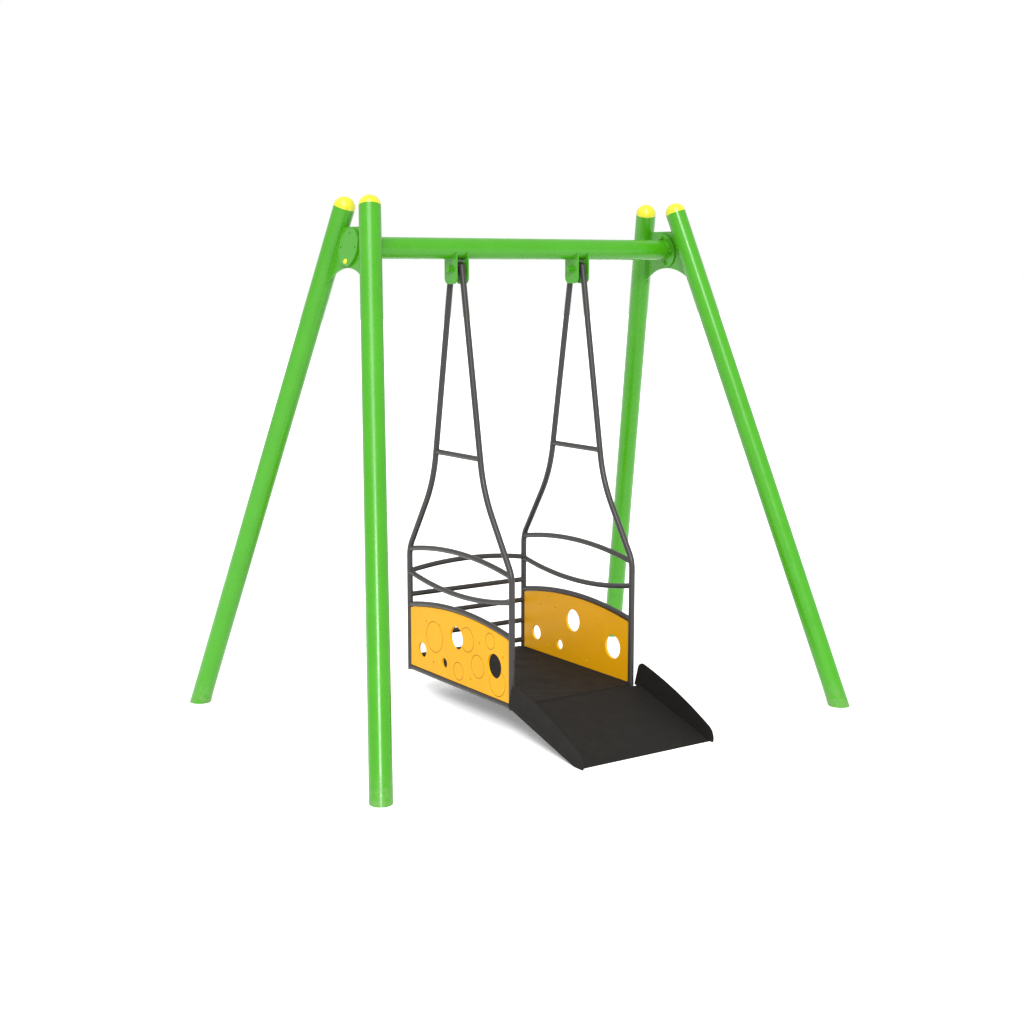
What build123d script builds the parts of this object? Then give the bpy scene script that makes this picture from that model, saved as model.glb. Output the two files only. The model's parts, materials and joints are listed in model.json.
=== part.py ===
from build123d import *
import math
import os

# Platform swing with a fold-down ramp, in millimetres.
# Origin: on the ground, below the middle of the crossbeam.
# +X along the crossbeam, +Y towards the closed rear of the platform, +Z up.
# The stand carries the platform on two bearings, and the platform carries the ramp on a hinge.

# ---- stand ----
pole_od = 114.3             # legs and crossbeam
pole_wall = 3.6
beam_height = 2576.0        # ground to crossbeam axis
beam_half = 1040.0          # middle of the beam to each A-frame's plane
leg_spread = 205.8          # A-frame's centre line to each leg, level with the beam
leg_lean = 10.08            # degrees, both A-frames lean inwards
leg_splay = 18.12           # degrees, each leg off its A-frame's centre line
leg_over_beam = 211.0       # beam axis to the leg's top end, along the A-frame
foot_disc = 6.0
cap_height = 58.0
cap_lip = 5.0
cap_plug = 24.0
cap_wall = 4.0

gusset = 10.0
gusset_over_disc = 10.0     # plate's top edge above the disc's rim
gusset_under_disc = 7.0     # crown of the arch below the disc's rim
gusset_arch = 315.0
disc = 15.0
disc_margin = 14.5          # bolt heads to the disc's rim
beam_flange = 10.0
bolts = 4
bolt_room = 0.5             # beam to the nearest nut corner
bolt_radius = 6.0
bolt_hole = 6.75
bolt_head = 9.0
bolt_head_height = 10.0
socket_flats = 10.0
nut_flats = 19.0
nut_height = 10.5
washer_radius = 12.0
washer = 2.5
thread_out = 3.0
bolt_cover = 15.0
bolt_cover_height = 13.0

# ---- pivot ----
frame_x = 401.0             # side frames, off the centre
housing_room = 13.85        # beam to the bearing housing below it
lug = 8.0
lug_gap = 64.0
lug_horn = 3.85             # lug beside the beam, on each side
lug_corner = 34.0
lug_below = 79.0            # pivot axis to the lug's lower edge
lug_above = 25.0            # beam axis down to the horns beside the beam
boss_radius = 24.0
boss = 5.0
pivot_radius = 10.0
pivot_head_flats = 30.0
pivot_head = 12.5
pivot_nut = 16.0
pivot_washer = 18.5
housing_radius = 38.0
housing_length = 56.0
bearing_radius = 23.5
bearing_width = 14.0
bearing_recess = 1.0
bearing_lip = 4.0           # shoulder behind each bearing
spacer_radius = 14.0

# ---- platform ----
rod_od = 33.7
rod_wall = 2.6
rail_step = 3.7             # rails are this much thinner than the rods
rail_wall = 2.0
post_y = 529.5              # post centres, front and rear
shoulder_z = 873.0          # where a post would meet its slanting stretch
waist_y = 257.0             # where the two slanting stretches would meet
waist_z = 1289.0
shoulder_bend = 160.0
waist_bend = 740.0
rod_top = 14.0              # rod end past its weld to the housing
rod_sink = 2.0              # how far a housing is notched into each rod
plug = 3.0                  # closing discs in the rod ends
post_foot = 150.0
crossbar_z = 1461.0
top_rail = (866.0, 51.0)     # height at the posts, rise in the middle
middle_rail = (733.0, -54.0)
panel_rail_z = 537.0
panel_rail_rise = 55.0
guard_rail = (735.0, 35.0)
guard_bars_z = (221.0, 342.0, 469.0, 596.0)

panel = 15.0
panel_gap = 1.0
panel_holes = ((384.0, 293.0, 43.0), (13.0, 435.0, 65.0), (143.0, 265.0, 29.0), (-369.0, 355.0, 68.0))
panel_dots = ((338.0, 473.0), (-225.0, 455.0), (-133.0, 232.0), (-452.0, 420.0), (190.0, 478.0), (262.0, 246.0))
panel_rings = ((247.0, 396.0, 90.0), (-97.0, 447.0, 70.0), (-330.0, 486.0, 46.0), (-7.0, 250.0, 52.0),
               (-205.0, 318.0, 66.0), (-400.0, 272.0, 78.0))
dot_radius = 6.0
ring_groove = 4.0
groove_depth = 1.5
screws_z = (230.0, 430.0)
screw_radius = 4.0
screw_depth = 30.0
screw_head = 7.0
screw_head_height = 4.0

floor_top = 178.0
floor_plate = 4.0
floor_edge_sink = 5.0       # plate edge under the rail, before it is notched
cross_members = 4
cross_member_pitch = 267.0
cross_member_width = 30.0
cross_member_depth = 20.0
cross_member_wall = 2.0
cross_member_inset = 40.0

# ---- ramp ----
ramp_length = 636.0         # hinge axis to the toe, along the deck
ramp_plate = 5.0
ramp_overlap = 5.65         # post's outer side to the flange beside it
toe = 2.0
knuckle_radius = 11.0
hinge_inset = 30.0          # post centre to the end of the hinge
knuckles = 7
knuckle_gap = 1.0
hinge_pin_radius = 6.0
hinge_pin_head = 9.0
leaf = 5.0
floor_leaf = 50.0
ramp_leaf = 60.0
plate_back = 12.5           # hinge axis to the plate edges beside it
flange_back = 30.0
flange_height = 143.0
flange_corner = 45.0
flange_mid = (328.0, 130.0)
flange_end = (600.0, 86.0)
flange_tip = (641.0, 64.0)
flange_nose = (659.0, 27.0)
flange_toe = 655.0
flange_below = 17.0         # deck top to the flange's lower edge
ribs = 4
rib_start = 70.0
rib_end = 530.0
rib_depth = 20.0
rib_ground = 8.0

# ---- edges ----
plate_edge = 1.0            # chamfer on steel plate
panel_edge = 2.0            # round on the side panels
flange_edge = 1.5           # round on the ramp's flanges

# ---- fits ----
weld_gap = 0.1
running = 0.02
hinge_running = 0.05
slip = 0.3

# ---- values that follow ----
pole_radius = pole_od / 2
rod_radius = rod_od / 2
rail_radius = (rod_od - rail_step) / 2
far = 4 * beam_height
lean = math.radians(leg_lean)
nut_depth = gusset / 2 + beam_flange + washer + nut_height
bolt_circle = 2 * ((pole_radius + nut_depth * math.sin(lean)) / math.cos(lean) + nut_flats / math.sqrt(3) + bolt_room)
disc_radius = bolt_circle / 2 + bolt_head + disc_margin
gusset_rise = disc_radius + gusset_over_disc
gusset_crown = disc_radius + gusset_under_disc
pivot_z = beam_height - pole_radius - housing_room - housing_radius
lug_width = pole_od + 2 * lug_horn
horn_z = beam_height - lug_above
post_face = post_y + rod_radius
hinge_y = -(post_face + screw_head_height + 2.0 + knuckle_radius)
hinge_z = floor_top - knuckle_radius
ramp_angle = math.atan(knuckle_radius / ramp_length) + math.asin(
    (hinge_z - toe) / math.hypot(ramp_length, knuckle_radius))
bottom_rail_z = post_foot + rail_radius
flange = ramp_plate
deck_half = frame_x + rod_radius + ramp_overlap
hinge_span = 2 * (frame_x - hinge_inset)
rib_pitch = 2 * deck_half / ribs

# The A-frame's own plane: x along +Y, y up the A-frame, z outwards, zero at the beam axis.
frame_plane = Plane(origin=(beam_half, 0, beam_height), x_dir=(0, 1, 0), z_dir=(math.cos(lean), 0, math.sin(lean)))
leg_run = math.tan(math.radians(leg_splay))
leg_foot_up = -beam_height / math.cos(lean)
foot_x = beam_half + beam_height * math.tan(lean)
foot_y = leg_spread - leg_run * leg_foot_up
bolt_places = PolarLocations(bolt_circle / 2, bolts)

# The ramp's own plane: x down the deck, y square to it, zero at the hinge axis.
ramp_plane = Plane(origin=(0, hinge_y, hinge_z), x_dir=(0, -math.cos(ramp_angle), -math.sin(ramp_angle)),
                   z_dir=(-1, 0, 0))


def rod_between(start, end, radius):
    """A solid round bar from start to end."""
    run = Vector(*end) - Vector(*start)
    return Part() + Solid.make_cylinder(radius, run.length, Plane(origin=start, z_dir=run))


def along_x(radius, low, high, y, z):
    """A solid round bar along X."""
    return rod_between((low, y, z), (high, y, z), radius)


def hexagon(flats, height):
    """A hexagonal prism standing on the XY plane."""
    return extrude(RegularPolygon(flats / math.sqrt(3), 6), height)


def standing(radius, height):
    """A round bar standing on the XY plane."""
    return Cylinder(radius, height, align=(Align.CENTER, Align.CENTER, Align.MIN))


def nut_blank(flats, height):
    """A hexagonal prism standing on the XY plane, its corners turned off at both ends."""
    corner = flats / math.sqrt(3)
    bar = standing(corner, height)
    return hexagon(flats, height) & chamfer(bar.edges(), corner - flats / 2)


def rimmed(body, axis):
    """A plate with chamfers all round its two faces; axis is square to the faces."""
    return chamfer(body.faces().filter_by(axis).edges(), plate_edge)


def domed(radius, lip, height):
    """A round cap standing on the XY plane, with a straight lip and a spherical crown."""
    rise = height - lip
    crown = (radius ** 2 + rise ** 2) / (2 * rise)
    return standing(radius, height) & Pos(0, 0, height - crown) * Sphere(crown)


def above(z):
    """Everything over the level z."""
    return Pos(0, 0, z + far / 2) * Box(far, far, far)


def swept(path, radius):
    """A round bar that follows a path."""
    start = Plane(origin=path @ 0, z_dir=path % 0)
    return sweep(start * Circle(radius), path=path)


def other_side(shape):
    """The same piece on the left of the swing."""
    return mirror(shape, about=Plane.YZ)


def save(name, *pieces):
    """Write one node, a single piece or a group of separate ones."""
    solids = [solid for piece in pieces for solid in piece.solids()]
    export_step(solids[0] if len(solids) == 1 else Compound(solids), f"parts/{name}.step")


def save_pair(name, *pieces):
    """Write a piece for the right side and its mirror for the left."""
    save(f"{name}_right", *pieces)
    save(f"{name}_left", *[other_side(piece) for piece in pieces])


# ---- stand ----
def leg_ends(end):
    """Foot and top centres of a right-hand leg; end is -1 at the front and +1 at the rear."""
    top_u = leg_spread - leg_run * leg_over_beam
    top = frame_plane.from_local_coords(Vector(end * top_u, leg_over_beam, 0))
    return Vector(foot_x, end * foot_y, 0), top


def leg_bar(end, radius):
    """The leg's round bar, run on past the ground."""
    foot, top = leg_ends(end)
    start = foot - (top - foot).normalized() * pole_od
    return rod_between(start, top, radius)


def make_leg(end):
    """One leg tube, cut level at the ground and closed there by a disc."""
    outside = leg_bar(end, pole_radius) & above(0)
    return outside - (leg_bar(end, pole_radius - pole_wall) & above(foot_disc))


def make_cap(end):
    """A hollow domed cap with a plug that goes into the leg."""
    foot, top = leg_ends(end)
    plug_radius = pole_radius - pole_wall - slip
    outside = domed(pole_radius, cap_lip, cap_height) + Pos(0, 0, -cap_plug) * standing(plug_radius, cap_plug)
    inner_radius = plug_radius - cap_wall
    core = Pos(0, 0, -cap_plug) * domed(inner_radius, cap_lip + cap_plug, cap_height + cap_plug - cap_wall)
    return Plane(origin=top, z_dir=top - foot) * (outside - core)


def make_gusset():
    """The plate between the two legs of one A-frame, arched below."""
    reach = gusset_crown + gusset_arch / 2
    top_u = leg_spread - leg_run * gusset_rise
    low_u = leg_spread + leg_run * reach
    outline = make_face(Polyline((-top_u, gusset_rise), (top_u, gusset_rise), (low_u, -reach), (-low_u, -reach),
                                 close=True))
    outline -= Pos(0, -gusset_crown - gusset_arch) * Circle(gusset_arch)
    outline -= bolt_places * Circle(bolt_hole)
    plate = frame_plane * rimmed(extrude(outline, gusset / 2, both=True), Axis.Z)
    for end in (-1, 1):
        plate -= leg_bar(end, pole_radius + weld_gap)
    return plate


def make_disc():
    """The outer clamp disc, with a pocket for each bolt head."""
    body = rimmed(standing(disc_radius, disc), Axis.Z) - bolt_places * standing(bolt_hole, disc)
    pocket = Pos(0, 0, disc - bolt_head_height) * standing(bolt_head + slip, bolt_head_height)
    return frame_plane * Pos(0, 0, gusset / 2) * (body - bolt_places * pocket)


def make_beam_flange():
    """The round flange on the beam's end."""
    body = rimmed(standing(disc_radius, beam_flange), Axis.Z) - bolt_places * standing(bolt_hole, beam_flange)
    return frame_plane * Pos(0, 0, -gusset / 2 - beam_flange) * body


def make_beam():
    """The crossbeam tube, cut to its two leaning flanges."""
    tube = along_x(pole_radius, -beam_half, beam_half, 0, beam_height)
    tube -= along_x(pole_radius - pole_wall, -beam_half, beam_half, 0, beam_height)
    cut = frame_plane * Pos(0, 0, far / 2 - gusset / 2 - beam_flange) * Box(far, far, far)
    return tube - cut - other_side(cut)


def make_flange_bolts():
    """Socket-head bolts, their heads flush in the disc."""
    seat = gusset / 2 + disc - bolt_head_height
    low = -nut_depth - thread_out
    bolt = Pos(0, 0, seat) * standing(bolt_head, bolt_head_height) + Pos(0, 0, low) * standing(bolt_radius, seat - low)
    bolt -= Pos(0, 0, seat + bolt_head_height * 0.3) * hexagon(socket_flats, bolt_head_height)
    return [frame_plane * piece for piece in bolt_places * bolt]


def make_flange_nuts():
    """A washer and a nut on each flange bolt."""
    face = -gusset / 2 - beam_flange
    ring = standing(washer_radius, washer) - standing(bolt_hole, washer)
    nut = nut_blank(nut_flats, nut_height) - standing(bolt_radius + hinge_running, nut_height)
    rings = bolt_places * (Pos(0, 0, face - washer) * ring)
    nuts = bolt_places * (Pos(0, 0, face - washer - nut_height) * nut)
    return [frame_plane * piece for piece in rings + nuts]


def make_bolt_cover():
    """The snap-on cover over the lowest flange bolt."""
    return frame_plane * Pos(0, -bolt_circle / 2, gusset / 2 + disc) * domed(bolt_cover, 1.5, bolt_cover_height)


# ---- pivot ----
def make_lugs():
    """Two hanger lugs, notched around the beam, with a boss on each outer face."""
    low, high = pivot_z - lug_below, horn_z
    outline = Pos(0, (low + high) / 2 - pivot_z) * Rectangle(lug_width, high - low)
    outline = fillet(outline.vertices().group_by(Axis.Y)[0], lug_corner)
    plates = []
    for out in (-1, 1):
        face = frame_x + out * lug_gap / 2
        plane = Plane(origin=(face, 0, pivot_z), x_dir=(0, out, 0), z_dir=(out, 0, 0))
        body = rimmed(extrude(outline, lug), Axis.Z)
        plate = plane * (body + Pos(0, 0, lug) * rimmed(standing(boss_radius, boss), Axis.Z))
        plate -= along_x(pole_radius + weld_gap, 0, 2 * frame_x, 0, beam_height)
        plates.append(plate - along_x(pivot_radius + slip, 0, 2 * frame_x, 0, pivot_z))
    return plates


def pivot_place(offset):
    """A plane on the pivot axis, facing away from the middle of the swing."""
    return Plane(origin=(frame_x + offset, 0, pivot_z), x_dir=(0, 1, 0), z_dir=(1, 0, 0))


def make_pivot_bolt():
    """The bolt that carries the two bearings; its head is outboard."""
    reach = lug_gap / 2 + lug + boss
    low = -reach - washer - pivot_nut - thread_out
    shank = pivot_place(low) * standing(pivot_radius, reach + washer - low)
    return shank + pivot_place(reach + washer) * nut_blank(pivot_head_flats, pivot_head)


def make_pivot_nut():
    """Two washers and a nut for the pivot bolt."""
    reach = lug_gap / 2 + lug + boss
    bore = standing(pivot_radius + hinge_running, pivot_nut)
    ring = standing(pivot_washer, washer) - bore
    nut = nut_blank(pivot_head_flats, pivot_nut) - bore
    return (pivot_place(reach) * ring, pivot_place(-reach - washer) * ring,
            pivot_place(-reach - washer - pivot_nut) * nut)


def make_spacers():
    """The rings that keep the bearings off the lugs."""
    inner = housing_length / 2 - bearing_recess + slip
    length = lug_gap / 2 - inner
    ring = standing(spacer_radius, length) - standing(pivot_radius + slip, length)
    return pivot_place(inner) * ring, pivot_place(-inner - length) * ring


def make_housing():
    """The sleeve that the rods are welded to, bored for a bearing at each end."""
    sleeve = rimmed(standing(housing_radius, housing_length), Axis.Z)
    sleeve -= standing(bearing_radius - bearing_lip, housing_length)
    pocket = standing(bearing_radius + running, bearing_recess + bearing_width)
    sleeve -= pocket
    sleeve -= Pos(0, 0, housing_length - bearing_recess - bearing_width) * pocket
    return pivot_place(-housing_length / 2) * sleeve


def make_bearings():
    """A sealed bearing in each end of the housing."""
    ring = standing(bearing_radius, bearing_width) - standing(pivot_radius + running, bearing_width)
    inner = housing_length / 2 - bearing_recess - bearing_width
    return pivot_place(inner) * ring, pivot_place(-inner - bearing_width) * ring


# ---- platform ----
def rod_corners(end):
    """The corners of a right-hand rod's centre line, from its top end to its foot."""
    offset = housing_radius + rod_radius - rod_sink
    drop = pivot_z - waist_z
    slant = math.atan(waist_y / drop) - math.asin(offset / math.hypot(waist_y, drop))
    touch_y = offset * math.cos(slant) - rod_top * math.sin(slant)
    touch_z = pivot_z + offset * math.sin(slant) + rod_top * math.cos(slant)
    return [Vector(frame_x, end * y, z) for y, z in
            ((touch_y, touch_z), (waist_y, waist_z), (post_y, shoulder_z), (post_y, post_foot))]


def rod_bar(end, radius, short=0.0):
    """A right-hand rod as a solid bar, each end cut short by the same amount."""
    top, waist, shoulder, foot = rod_corners(end)
    top += (waist - top).normalized() * short
    foot += (shoulder - foot).normalized() * short
    path = FilletPolyline(top, waist, shoulder, foot, radius=[waist_bend, shoulder_bend])
    return swept(path, radius)


def screw_places():
    """Centre line of each panel screw of the right-hand panel, with its outward direction."""
    return [(end, z) for end in (-1, 1) for z in screws_z]


def make_rod(end):
    """A hanger rod and corner post in one bent tube, closed at both ends."""
    tube = rod_bar(end, rod_radius) - rod_bar(end, rod_radius - rod_wall, plug)
    tube -= along_x(housing_radius + weld_gap, 0, 2 * frame_x, 0, pivot_z)
    for z in screws_z:
        tube -= rod_between((frame_x, 0, z), (frame_x, end * 2 * post_y, z), screw_radius + slip)
    return tube


def post_envelopes():
    """The space of both right-hand rods, with room for the welds."""
    return [rod_bar(end, rod_radius + weld_gap) for end in (-1, 1)]


def rail_path(start, end, rise):
    """A level line from start to end, arched up by its rise, or down where that is negative."""
    if rise:
        return ThreePointArc(start, (start + end) / 2 + Vector(0, 0, rise), end)
    return Line(start, end)


def side_path(z, rise):
    """The centre line of a right-hand rail, from post to post."""
    return rail_path(Vector(frame_x, -post_y, z), Vector(frame_x, post_y, z), rise)


def rail_tube(path, cutters):
    """A rail along its path, notched by the cutters; the ends cut off beyond them are dropped."""
    tube = swept(path, rail_radius) - swept(path, rail_radius - rail_wall)
    for cutter in cutters:
        tube -= cutter
    return max(tube.solids(), key=lambda solid: solid.volume)


def make_side_rail(z, rise):
    """A rail between the front and rear posts, notched to them."""
    return rail_tube(side_path(z, rise), envelopes)


def make_crossbar():
    """The straight bar between the two rods, above the people on the platform."""
    top, waist = rod_corners(1)[:2]
    reach = waist.Y + (top.Y - waist.Y) * (crossbar_z - waist.Z) / (top.Z - waist.Z)
    return rail_tube(Line((frame_x, -reach, crossbar_z), (frame_x, reach, crossbar_z)), envelopes)


def make_guard_rail(z, rise):
    """A rail between the two rear posts, notched to them and to the side rails beside it."""
    path = rail_path(Vector(-frame_x, post_y, z), Vector(frame_x, post_y, z), rise)
    cutters = [envelopes[1], *side_rail_envelopes]
    return rail_tube(path, cutters + [other_side(cutter) for cutter in cutters])


def make_panel():
    """A side panel: it fills its frame up to the arched rail, with holes, dots and ring grooves."""
    half = post_y - rod_radius - panel_gap
    low = bottom_rail_z + rail_radius + panel_gap
    bend = (post_y ** 2 + panel_rail_rise ** 2) / (2 * panel_rail_rise)
    crown = panel_rail_z + panel_rail_rise - rail_radius - panel_gap
    edge = bend - rail_radius - panel_gap
    top = crown - edge + math.sqrt(edge ** 2 - half ** 2)
    outline = Polyline((half, top), (half, low), (-half, low), (-half, top))
    outline += ThreePointArc((-half, top), (0, crown), (half, top))
    face = make_face(outline)
    for y, z, radius in panel_holes:
        face -= Pos(y, z) * Circle(radius)
    for y, z in panel_dots:
        face -= Pos(y, z) * Circle(dot_radius)
    side = Plane(origin=(frame_x, 0, 0), x_dir=(0, 1, 0), z_dir=(1, 0, 0))
    board = side * extrude(face, panel / 2, both=True)
    board = fillet(board.faces().filter_by(Axis.X).edges(), panel_edge)
    for y, z, radius in panel_rings:
        ring = Circle(radius) - Circle(radius - ring_groove)
        board -= extrude(side * Pos(y, z, panel / 2 - groove_depth) * ring, groove_depth)
    for end, z in screw_places():
        board -= rod_between((frame_x, end * post_y, z), (frame_x, end * (half - screw_depth), z),
                             screw_radius + hinge_running)
    return board


def make_panel_screws():
    """Domed screws through the posts into the panel's ends; the heads fit the round posts."""
    half = post_y - rod_radius - panel_gap
    screws = []
    for end, z in screw_places():
        seat = Plane(origin=(frame_x, end * post_y, z), x_dir=(1, 0, 0), z_dir=(0, end, 0))
        head = seat * domed(screw_head, rod_radius, rod_radius + screw_head_height)
        head -= rod_between((frame_x, end * post_y, z - rod_od), (frame_x, end * post_y, z + rod_od),
                            rod_radius + weld_gap)
        shank = rod_between((frame_x, end * (post_face + 1.0), z), (frame_x, end * (half - screw_depth + slip), z),
                            screw_radius)
        screws.append(head + shank)
    return screws


def make_floor():
    """The floor plate, notched to the bottom rails and posts, open to the hinge at the front."""
    front = hinge_y + plate_back
    inner = frame_x - rod_radius - weld_gap
    wide = Box(2 * (frame_x - floor_edge_sink), 2 * post_y, floor_plate)
    strip = Pos(0, (front + post_face) / 2) * Box(2 * inner, post_face - front, floor_plate)
    plate = Pos(0, 0, floor_top - floor_plate / 2) * (wide + strip)
    for cutter in (*envelopes, swept(side_path(bottom_rail_z, 0), rail_radius + weld_gap)):
        plate -= cutter
        plate -= other_side(cutter)
    return plate


def make_cross_members():
    """Rectangular tubes across the underside of the floor."""
    length = 2 * (frame_x - rod_radius - cross_member_inset)
    wall = cross_member_wall
    tube = Box(length, cross_member_width, cross_member_depth)
    tube -= Box(length, cross_member_width - 2 * wall, cross_member_depth - 2 * wall)
    level = floor_top - floor_plate - cross_member_depth / 2
    start = -(cross_members - 1) / 2 * cross_member_pitch
    return [Pos(0, start + i * cross_member_pitch, level) * tube for i in range(cross_members)]


# ---- ramp hinge ----
def knuckle_span(index):
    """Low and high X of one hinge knuckle."""
    pitch = (hinge_span + knuckle_gap) / knuckles
    low = -hinge_span / 2 + index * pitch
    return low, low + pitch - knuckle_gap


def make_knuckle(index, leaf_box):
    """A hinge barrel with its leaf, bored for the pin."""
    low, high = knuckle_span(index)
    barrel = along_x(knuckle_radius, low, high, hinge_y, hinge_z)
    span = Pos((low + high) / 2, 0, 0) * leaf_box(high - low)
    return barrel + span - along_x(hinge_pin_radius + hinge_running, low, high, hinge_y, hinge_z)


def floor_leaf_box(width):
    """The leaf of a floor knuckle, under the floor plate."""
    return Pos(0, hinge_y + floor_leaf / 2, floor_top - floor_plate - leaf / 2) * Box(width, floor_leaf, leaf)


def ramp_leaf_box(width):
    """The leaf of a ramp knuckle, under the deck."""
    centre = Pos(ramp_leaf / 2, knuckle_radius - ramp_plate - leaf / 2, 0)
    return ramp_plane * centre * Box(ramp_leaf, leaf, width)


def make_hinge_pin():
    """The pin through every knuckle, with a head at each end."""
    half = hinge_span / 2 + slip
    pin = along_x(hinge_pin_radius, -half, half, hinge_y, hinge_z)
    pin += along_x(hinge_pin_head, half, half + ramp_plate, hinge_y, hinge_z)
    return pin + along_x(hinge_pin_head, -half - ramp_plate, -half, hinge_y, hinge_z)


# ---- ramp ----
def make_deck():
    """The ramp's plate, cut level where its toe meets the ground."""
    long = ramp_length - plate_back
    centre = Pos(plate_back + long / 2, knuckle_radius - ramp_plate / 2, 0)
    return ramp_plane * centre * Box(long, ramp_plate, 2 * deck_half) & above(0)


def make_flange():
    """A side flange of the ramp, high at the hinge and low at the toe."""
    low = knuckle_radius - flange_below
    edges = Polyline(flange_nose, (flange_toe, low), (-flange_back, low),
                     (-flange_back, flange_height - flange_corner))
    edges += TangentArc((-flange_back, flange_height - flange_corner),
                        (-flange_back + flange_corner, flange_height), tangent=(0, 1))
    edges += ThreePointArc((-flange_back + flange_corner, flange_height), flange_mid, flange_end)
    edges += ThreePointArc(flange_end, flange_tip, flange_nose)
    plate = extrude(make_face(edges), flange)
    plate = ramp_plane * fillet(plate.faces().filter_by(Axis.Z).edges(), flange_edge)
    return Pos(deck_half + flange, 0, 0) * plate & above(0)


def make_ribs():
    """Flat bars on edge under the deck, clear of the ground."""
    top = knuckle_radius - ramp_plate
    clear = (rib_ground - hinge_z + rib_end * math.sin(ramp_angle)) / math.cos(ramp_angle)
    outline = make_face(Polyline((rib_start, top), (rib_end + rib_depth, top), (rib_end, clear),
                                 (rib_start + rib_depth, top - rib_depth), close=True))
    rib = extrude(ramp_plane * outline, ramp_plate / 2, both=True)
    start = -(ribs - 1) / 2 * rib_pitch
    return [Pos(start + i * rib_pitch, 0, 0) * rib for i in range(ribs)]


os.makedirs("parts", exist_ok=True)

for end, place in ((-1, "front"), (1, "rear")):
    save_pair(f"leg_{place}", make_leg(end))
    save_pair(f"leg_cap_{place}", make_cap(end))
    save_pair(f"hanger_rod_{place}", make_rod(end))

cover = make_bolt_cover()
save_pair("gusset_plate", make_gusset())
save_pair("clamp_disc", make_disc())
save_pair("beam_flange", make_beam_flange())
save_pair("flange_bolts", *make_flange_bolts())
save_pair("flange_nuts", *make_flange_nuts())
save("bolt_covers", cover, other_side(cover))
save("crossbeam", make_beam())

spacers = make_spacers()
save_pair("hanger_lugs", *make_lugs())
save_pair("pivot_bolt", make_pivot_bolt())
save_pair("pivot_nut", *make_pivot_nut())
save("pivot_spacers", *spacers, *[other_side(ring) for ring in spacers])
save_pair("bearing_housing", make_housing())
save_pair("bearings", *make_bearings())

envelopes = post_envelopes()
side_rail_envelopes = [swept(side_path(*rail), rail_radius + weld_gap)
                       for rail in (top_rail, middle_rail, (panel_rail_z, panel_rail_rise))]
screws = make_panel_screws()
save_pair("rod_crossbar", make_crossbar())
save_pair("top_rail", make_side_rail(*top_rail))
save_pair("middle_rail", make_side_rail(*middle_rail))
save_pair("panel_rail", make_side_rail(panel_rail_z, panel_rail_rise))
save_pair("bottom_rail", make_side_rail(bottom_rail_z, 0))
save_pair("side_panel", make_panel())
save("panel_screws", *screws, *[other_side(screw) for screw in screws])
save("guard_rail", make_guard_rail(*guard_rail))
save("guard_bars", *[make_guard_rail(z, 0) for z in guard_bars_z])
save("floor_plate", make_floor())
save("floor_cross_members", *make_cross_members())

save("floor_knuckles", *[make_knuckle(i, floor_leaf_box) for i in range(0, knuckles, 2)])
save("hinge_pin", make_hinge_pin())
save("ramp_deck", make_deck())
save("ramp_knuckles", *[make_knuckle(i, ramp_leaf_box) for i in range(1, knuckles, 2)])
save_pair("ramp_flange", make_flange())
save("ramp_ribs", *make_ribs())
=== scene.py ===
"""Wheelchair platform swing: finishes, welds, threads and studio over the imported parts."""
import json
import logging
import math
from dataclasses import dataclass, field
from enum import Enum
from typing import Iterable, Sequence

import bmesh
import bpy
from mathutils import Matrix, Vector

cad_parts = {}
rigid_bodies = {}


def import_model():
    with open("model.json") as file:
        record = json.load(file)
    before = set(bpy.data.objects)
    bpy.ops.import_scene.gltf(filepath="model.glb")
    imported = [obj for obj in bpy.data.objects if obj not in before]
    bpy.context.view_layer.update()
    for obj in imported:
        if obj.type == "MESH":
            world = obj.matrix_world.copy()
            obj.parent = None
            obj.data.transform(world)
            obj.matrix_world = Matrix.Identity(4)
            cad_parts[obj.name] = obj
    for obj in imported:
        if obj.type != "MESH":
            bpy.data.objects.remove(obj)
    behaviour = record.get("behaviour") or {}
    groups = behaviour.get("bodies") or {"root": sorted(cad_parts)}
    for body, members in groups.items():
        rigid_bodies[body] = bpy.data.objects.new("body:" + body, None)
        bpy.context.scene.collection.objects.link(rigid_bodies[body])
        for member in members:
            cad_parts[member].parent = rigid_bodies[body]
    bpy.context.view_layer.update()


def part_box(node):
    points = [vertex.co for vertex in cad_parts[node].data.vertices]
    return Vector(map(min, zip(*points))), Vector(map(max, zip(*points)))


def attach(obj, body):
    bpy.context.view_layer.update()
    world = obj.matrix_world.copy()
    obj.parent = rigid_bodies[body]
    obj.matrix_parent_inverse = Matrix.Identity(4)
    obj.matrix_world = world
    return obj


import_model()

logging.basicConfig(level=logging.INFO, format="%(message)s")
log = logging.getLogger("swing")

Colour = tuple[float, float, float]
Path = list[Vector]


class Body(Enum):
    """The three bodies that move against each other."""

    STAND = "stand"
    PLATFORM = "platform"
    RAMP = "ramp"


class Slot(Enum):
    """Names of the record's material slots."""

    GREEN = "green_paint"
    GREY = "grey_paint"
    BLACK = "black_paint"


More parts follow.
